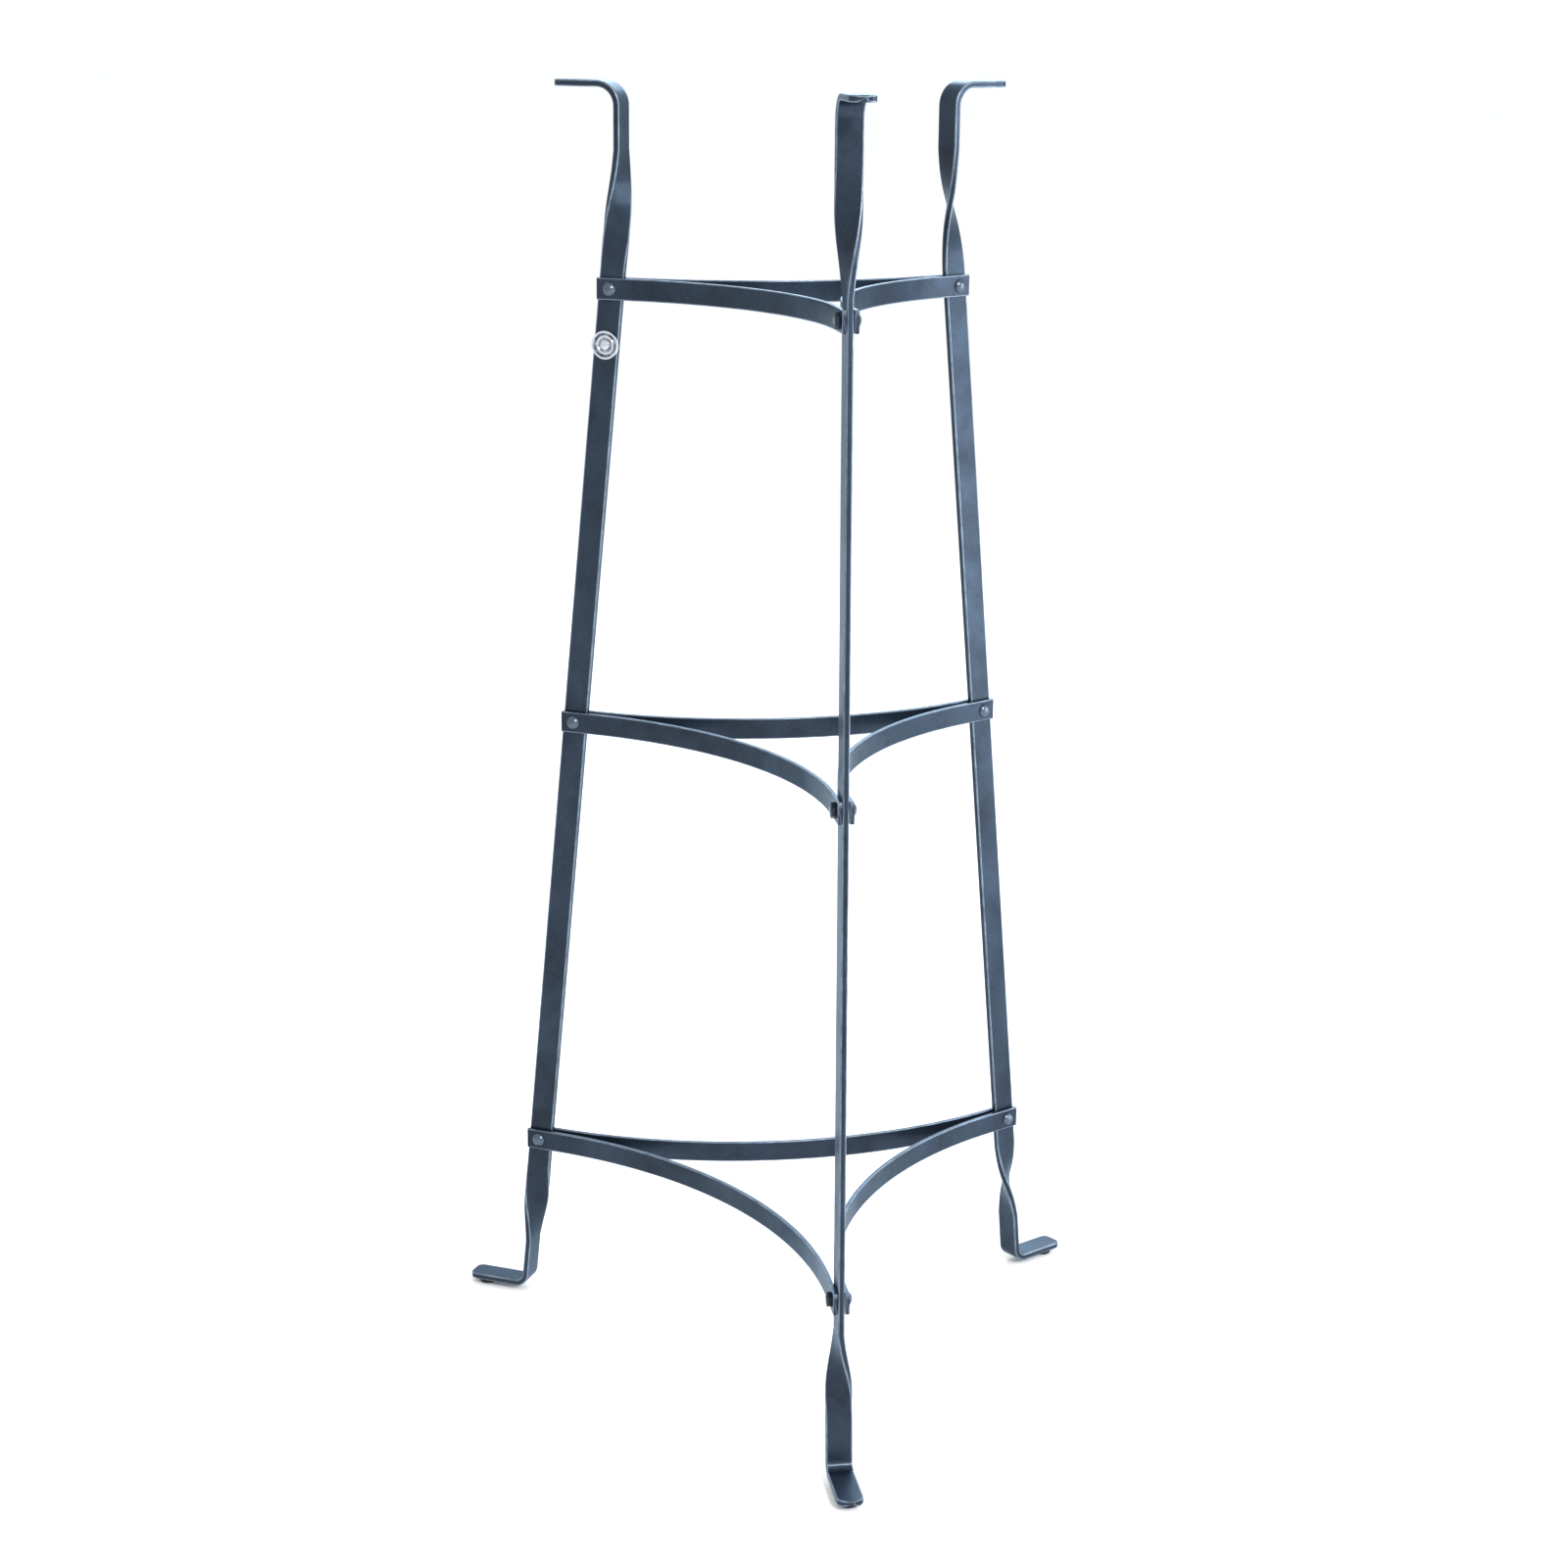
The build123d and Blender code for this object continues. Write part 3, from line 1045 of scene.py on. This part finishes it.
@dataclass
class Straps:
    """Nine bowed straps, three to a tier, whose ends clamp the legs between them."""

    shop: Workshop
    stock: BarStock = BarStock("strap_bar", 15.9 * MM, SIZES.strap_thick, 0.6 * MM)
    offset: float = SIZES.strap_offset
    straight: float = 14.0 * MM
    lead_shares: tuple[float, ...] = (0.0, 0.01, 0.33, 0.66)
    arc_steps: int = 72

    def middles(self, radius: float) -> list[Vector]:
        """Middle line of a strap in plan.

        Args:
            radius: Distance from the centre line to the bolts.

        Returns:
            Points from the leg along +X to the next leg round.
        """
        bow_start = radius - self.straight
        half = LEG_SPACING / 2
        bow_radius = bow_start * tan(half) - self.offset
        first = Vector((bow_start, self.offset, 0))
        centre = first + Vector((0, bow_radius, 0))
        swing = pi - LEG_SPACING
        arc = []
        for step in range(self.arc_steps + 1):
            angle = -pi / 2 - swing * step / self.arc_steps
            arc.append(centre + Vector((cos(angle), sin(angle), 0)) * bow_radius)
        outer = radius + SIZES.leg_width / 2
        start = Vector((outer, self.offset, 0))
        end = Matrix.Rotation(LEG_SPACING, 3, "Z") @ Vector((outer, -self.offset, 0))
        lead_in = [start.lerp(first, share) for share in self.lead_shares]
        lead_out = [end.lerp(arc[-1], share) for share in reversed(self.lead_shares)]
        return lead_in + arc + lead_out

    def build(self) -> None:
        """Make the nine straps and hand them over."""
        up = Vector((0, 0, 1))
        for tier in Tier:
            layout = self.shop.layout
            middles = self.middles(layout.tier_radius(tier))
            lift = Vector((0, 0, layout.joints[tier].z))
            for strap in Strap:
                label, leg = strap.value
                turn = Matrix.Rotation(leg.azimuth + layout.tier_turn(tier), 3, "Z")
                sections = [Station(turn @ point + lift, up) for point in middles]
                node = f"{tier.value}_{label}_strap"
                piece = self.shop.bar(f"{node}_bar", self.stock, sections)
                self.shop.hand_over(piece, "hammered_steel", [node])


@dataclass
class Bolting:
    """The dome-head bolt and nut at each leg of each tier.

    Facing says for each leg which way round the stand its bolt heads point.
    """

    shop: Workshop
    size: Fastener
    facing: tuple[tuple[Leg, int], ...] = ((Leg.FRONT, 1), (Leg.RIGHT, -1), (Leg.LEFT, 1))
    round_count: int = 48
    nut_count: int = 72
    dome_steps: int = 10

    def seats(self) -> list[tuple[Vector, Vector]]:
        """Find every joint.

        Returns:
            The middle of the bar and the direction of the bolt's head.
        """
        found = []
        for tier in Tier:
            for leg, sign in self.facing:
                turn = Matrix.Rotation(leg.azimuth, 3, "Z")
                place = turn @ self.shop.layout.joints[tier]
                across = Matrix.Rotation(leg.azimuth + self.shop.layout.tier_turn(tier), 3, "Z")
                found.append((place, across @ Vector((0, sign, 0))))
        return found

    def bolt(self) -> bpy.types.Object:
        """Make the bolt round its own Z axis, head upwards.

        Returns:
            The bolt, with the middle of the leg bar at the origin.
        """
        size = self.size
        rise = size.head_height - size.head_rim
        dome = (size.head_radius**2 + rise**2) / (2 * rise)
        span = atan2(size.head_radius, dome - rise)
        crown = size.clamp_face + size.head_height
        # The third number of each profile point sets the painted shade: darkest at the head's seat and rim
        # and in the thread roots.
        profile: list[tuple[float, float, float]] = []
        for step in range(1, self.dome_steps + 1):
            angle = span * step / self.dome_steps
            near = 0.0 if step < self.dome_steps - 1 else 0.6
            profile.append((dome * sin(angle), crown - dome * (1 - cos(angle)), near))
        profile.append((size.head_radius, size.clamp_face + size.head_rim * 0.5, 0.8))
        profile.append((size.head_radius, size.clamp_face, 1.0))
        profile.append((size.shank_radius, size.clamp_face, 1.0))
        shank_end = -size.clamp_face - size.nut_height - size.proud
        for turn in range(size.thread_count, 0, -1):
            crest = shank_end + size.chamfer + turn * size.thread_pitch
            root = crest - size.thread_pitch / 2
            profile.append((size.shank_radius, crest, 0.3))
            profile.append((size.shank_radius - size.thread_depth, root, 0.9))
        profile.append((size.shank_radius, shank_end + size.chamfer, 0.3))
        profile.append((size.shank_radius - size.chamfer, shank_end, 0.2))
        rings = [Shape.circle(radius, height, self.round_count) for radius, height, _ in profile]
        poles = (Vector((0, 0, crown)), Vector((0, 0, shank_end)))
        return Shape.rings("bolt_source", rings, [near for _, _, near in profile], poles)

    def nut(self) -> bpy.types.Object:
        """Make the hexagon nut round the bolt's axis, chamfered on its outer face.

        Returns:
            The nut, where it sits on the bolt.
        """
        size = self.size
        seat = -size.clamp_face
        outer = seat - size.nut_height
        bore = size.shank_radius + size.nut_clearance
        count = self.nut_count
        turns = [2 * pi * i / count for i in range(count)]
        flats = [size.nut_apothem / cos((turn % (pi / 3)) - pi / 6) for turn in turns]
        drops = [(flat - size.nut_apothem) * tan(size.nut_slope) for flat in flats]

        def ring(radii: list[float], heights: list[float]) -> list[Vector]:
            """Points at those radii and heights round the axis."""
            return [Vector((r * cos(t), r * sin(t), z)) for r, z, t in zip(radii, heights, turns)]

        rim = 0.1 * MM
        mouth = bore + size.nut_bore_chamfer
        rings = [
            ring([bore] * count, [seat] * count),
            ring(flats, [seat] * count),
            ring(flats, [outer + drop + rim for drop in drops]),
            ring([size.nut_apothem - rim] * count, [outer] * count),
            ring([mouth] * count, [outer] * count),
            ring([bore] * count, [outer + size.nut_bore_chamfer] * count),
        ]
        # How far the painted shade reaches on each ring: darkest at the seat and in the bore.
        nearness = (1.0, 0.6, 0.0, 0.0, 0.2, 1.0)
        points = [point for loop in rings for point in loop]
        faces = []
        for row in range(len(rings)):
            near, far = row * count, (row + 1) % len(rings) * count
            for i in range(count):
                j = (i + 1) % count
                faces.append((near + i, near + j, far + j, far + i))
        mesh = bpy.data.meshes.new("nut_source")
        mesh.from_pydata(points, [], faces)
        Shape.store(mesh, Surface.EDGE, [near for near in nearness for _ in range(count)])
        Shape.close(mesh)
        return Shape.link("nut_source", mesh)

    def build(self) -> None:
        """Set the bolts and nuts and hand them over."""
        seats = self.seats()
        joints = [f"{tier.value}_{leg.label}" for tier in Tier for leg, _ in self.facing]
        bolts = self.shop.set_fasteners("dome_head_bolts", self.bolt(), seats, "bolt_steel")
        self.shop.hand_over(bolts, "bolt_steel", [f"{joint}_bolt" for joint in joints])
        nuts = self.shop.set_fasteners("hex_nuts", self.nut(), seats, "nut_steel")
        self.shop.hand_over(nuts, "nut_steel", [f"{joint}_nut" for joint in joints])


@dataclass
class Pads:
    """The round rubber pad under each foot."""

    shop: Workshop
    radius: float = 6.5 * MM
    height: float = SIZES.pad_height
    rounding: float = 1.0 * MM
    sole_step: float = 0.6 * MM
    groove_depth: float = 0.25 * MM
    groove_heights: tuple[float, float, float, float] = (0.6, 0.66, 0.74, 0.8)
    rim: float = 0.3 * MM
    rounding_steps: int = 6
    round_count: int = 48

    def pad(self) -> bpy.types.Object:
        """Make a pad with a groove round its side.

        Returns:
            A pad that stands on the origin.
        """
        flat = self.radius - self.rounding
        profile = [(flat - self.sole_step, 0.0)]
        for step in range(self.rounding_steps + 1):
            angle = step / self.rounding_steps * pi / 2
            profile.append((flat + self.rounding * sin(angle), self.rounding * (1 - cos(angle))))
        inside = self.radius - self.groove_depth
        groove_radii = (self.radius, inside, inside, self.radius)
        profile += [(radius, self.height * share) for radius, share in zip(groove_radii, self.groove_heights)]
        profile += [(self.radius, self.height - self.rim), (self.radius - self.rim, self.height)]
        rings = [Shape.circle(radius, height, self.round_count) for radius, height in profile]
        poles = (Vector((0, 0, 0)), Vector((0, 0, self.height)))
        return Shape.rings("pad_source", rings, [0.0] * len(profile), poles)

    def build(self) -> None:
        """Set the pads and hand them over."""
        foot = self.shop.layout.foot_middle
        seats = [(Matrix.Rotation(leg.azimuth, 3, "Z") @ foot, Vector((0, 0, 1))) for leg in Leg]
        pads = self.shop.set_fasteners("foot_pads", self.pad(), seats, "pad_rubber")
        self.shop.hand_over(pads, "pad_rubber", [f"{leg.label}_foot_pad" for leg in Leg])


@dataclass
class Medallion:
    """The round badge on the left leg: a raised rim, rings in the recess and a boss."""

    shop: Workshop
    radius: float = 10.5 * MM
    thick: float = 2.2 * MM
    rim: float = 1.6 * MM
    recess: float = 0.8 * MM
    boss_radius: float = 3.5 * MM
    ridge_foot: float = 1.1 * MM
    ridge_top: float = 0.7 * MM
    ridge_height: float = 0.35 * MM
    crest_height: float = 0.5 * MM
    corner: float = 0.2 * MM
    rounding_steps: int = 6
    round_count: int = 72

    def profile(self) -> list[tuple[float, float, float]]:
        """Work out the badge's outline, from the middle of its face to its back.

        Returns:
            Radius, height and how far each point darkens, most at the recess corners and the back edge.
        """
        floor = self.thick - self.recess
        inner = self.radius - self.rim
        steps = self.rounding_steps
        points = []
        for step in range(1, steps + 1):
            angle = step / steps * pi / 2
            height = floor + self.recess * cos(angle)
            points.append((self.boss_radius * sin(angle), height, 0.0 if step < steps - 1 else 0.7))
        middle = (self.boss_radius + inner) / 2
        ridge = floor + self.ridge_height
        points += [(middle - self.ridge_foot, floor, 1.0), (middle - self.ridge_top, ridge, 0.1)]
        points += [(middle + self.ridge_top, ridge, 0.1), (middle + self.ridge_foot, floor, 1.0)]
        points.append((inner - self.corner, floor, 1.0))
        for step in range(steps + 1):
            angle = pi - pi * step / steps
            across = self.radius - self.rim / 2 + self.rim / 2 * cos(angle)
            points.append((across, self.thick - self.crest_height * (1 - sin(angle)), 0.0))
        points.append((self.radius, self.corner, 0.4))
        points.append((self.radius - self.corner, 0.0, 1.0))
        return points

    def build(self) -> None:
        """Make the badge, seat it on the leg and hand it over."""
        profile = self.profile()
        rings = [Shape.circle(radius, height, self.round_count) for radius, height, _ in profile]
        poles = (Vector((0, 0, self.thick)), Vector((0, 0, 0)))
        piece = Shape.rings("round_medallion", rings, [grime for _, _, grime in profile], poles)
        layout = self.shop.layout
        outward = (Vector((1, 0, 0)) - layout.lean * layout.lean.x).normalized()
        face = layout.lean.cross(outward)
        turn = Matrix.Rotation(Leg.LEFT.azimuth, 3, "Z")
        low, high = (Vector(corner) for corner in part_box("medallion"))
        axis = turn @ face
        base = (low + high) / 2 - axis * self.thick / 2
        across = turn @ outward
        seat = Matrix((across, axis.cross(across), axis)).transposed().to_4x4()
        piece.data.transform(Matrix.Translation(base) @ seat)
        piece.data.materials.append(self.shop.finishes["medallion_metal"])
        Shape.soften(piece.data)
        self.shop.hand_over(piece, "medallion_metal", ["medallion"])


# ----------------------------------------------------------------- studio
@dataclass(frozen=True)
class Lamp:
    """One square soft light, with its place in metres and its power in watts."""

    name: str
    place: tuple[float, float, float]
    size: float
    power: float
    colour: tuple[float, float, float]


@dataclass
class Studio:
    """A pale floor, soft lights and the camera."""

    floor_size: float = 120.0
    eye: tuple[float, float, float] = (-0.3615, -2.1049, 1.0299)
    heading: float = radians(9.448)
    pitch: float = 0.2655
    roll: float = 0.0103
    lens: float = 68.22
    sensor: float = 36.0
    far_clip: float = 500.0
    paper: tuple[Colour, Colour] = ((0.93, 0.93, 0.93, 1), (0.96, 0.96, 0.96, 1))
    sky: Colour = (0.98, 0.99, 1.0, 1)
    sky_strength: float = 1.07
    lit_point: tuple[float, float, float] = (0, 0, 0.5)
    lamps: tuple[Lamp, ...] = (
        Lamp("key_right", (1.9, -0.75, 0.75), 1.6, 38, (0.86, 0.94, 1.0)),
        Lamp("rim_back", (0.9, 2.6, 2.1), 1.8, 45, (0.84, 0.93, 1.0)),
        Lamp("sparkle_front", (0.75, -2.9, 2.3), 0.45, 75, (0.97, 0.99, 1.0)),
    )

    def floor(self) -> None:
        """Lay the pale floor."""
        half = self.floor_size / 2
        mesh = bpy.data.meshes.new("studio_floor")
        corners = [(-half, -half, 0), (half, -half, 0), (half, half, 0), (-half, half, 0)]
        mesh.from_pydata(corners, [], [(0, 1, 2, 3)])
        material = bpy.data.materials.new("studio_paper")
        material.use_nodes = True
        board = NodeBoard(material.node_tree)
        place = board.add("ShaderNodeTexCoord").outputs["Object"]
        noise = board.add("ShaderNodeTexNoise", {"Vector": place, "Scale": 3.0}).outputs[0]
        shader = material.node_tree.nodes["Principled BSDF"]
        board.feed(shader.inputs["Base Color"], board.mix(noise, *self.paper))
        shader.inputs["Roughness"].default_value = 0.9
        mesh.materials.append(material)
        Shape.link("studio_floor", mesh)

    def light(self, lamp: Lamp) -> None:
        """Hang one light that faces the middle of the stand.

        Args:
            lamp: The light.
        """
        data = bpy.data.lights.new(lamp.name, "AREA")
        data.size = lamp.size
        data.energy = lamp.power
        data.color = lamp.colour
        hung = bpy.data.objects.new(lamp.name, data)
        hung.location = lamp.place
        aim = Vector(self.lit_point) - Vector(lamp.place)
        hung.rotation_euler = aim.to_track_quat("-Z", "Y").to_euler()
        bpy.context.scene.collection.objects.link(hung)

    def surroundings(self) -> None:
        """Fill the studio with an even pale light."""
        world = bpy.data.worlds.new("studio_air")
        world.use_nodes = True
        shader = world.node_tree.nodes["Background"]
        shader.inputs["Color"].default_value = self.sky
        shader.inputs["Strength"].default_value = self.sky_strength
        bpy.context.scene.world = world

    def camera(self) -> None:
        """Set up the camera."""
        level_share = cos(self.pitch)
        ahead = Vector((sin(self.heading) * level_share, cos(self.heading) * level_share, -sin(self.pitch)))
        level = Vector((cos(self.heading), -sin(self.heading), 0))
        upright = level.cross(ahead)
        right = level * cos(self.roll) + upright * sin(self.roll)
        up = upright * cos(self.roll) - level * sin(self.roll)
        data = bpy.data.cameras.new("studio_camera")
        data.lens = self.lens
        data.sensor_width = self.sensor
        data.clip_end = self.far_clip
        camera = bpy.data.objects.new("studio_camera", data)
        turn = Matrix((right, up, -ahead)).transposed().to_4x4()
        camera.matrix_world = Matrix.Translation(Vector(self.eye)) @ turn
        bpy.context.scene.collection.objects.link(camera)
        bpy.context.scene.camera = camera

    def build(self) -> None:
        """Set up the whole studio."""
        self.camera()
        self.floor()
        self.surroundings()
        for lamp in self.lamps:
            self.light(lamp)
        bpy.context.scene.view_settings.view_transform = "Standard"


def make_finishes() -> dict[str, bpy.types.Material]:
    """Make every finish.

    Returns:
        Each material, by the slot that it dresses.
    """
    effects = Effects()
    black, polished = (0.03, 0.037, 0.05, 1), (0.6, 0.64, 0.7, 1)
    finishes = [
        ForgedSteel("hammered_steel", effects),
        TurnedSteel("bolt_steel", effects),
        TurnedSteel("nut_steel", effects, metal=black, grime=(0.01, 0.011, 0.014, 1), smooth=0.32, rough=0.5),
        TurnedSteel("medallion_metal", effects, metal=polished, smooth=0.12, rough=0.26),
        PadRubber("pad_rubber", effects),
    ]
    return {finish.slot: finish.make() for finish in finishes}


def main() -> None:
    """Build the studio and the stand."""
    logging.basicConfig(level=logging.INFO, format="%(message)s")
    fastener = Fastener()
    Studio().build()
    shop = Workshop(Layout(fastener), Trees(), make_finishes())
    builders: list[Callable[[], None]] = [
        Legs(shop).build,
        Straps(shop).build,
        Bolting(shop, fastener).build,
        Pads(shop).build,
        Medallion(shop).build,
    ]
    for build in builders:
        build()


if __name__ == "__main__":
    main()
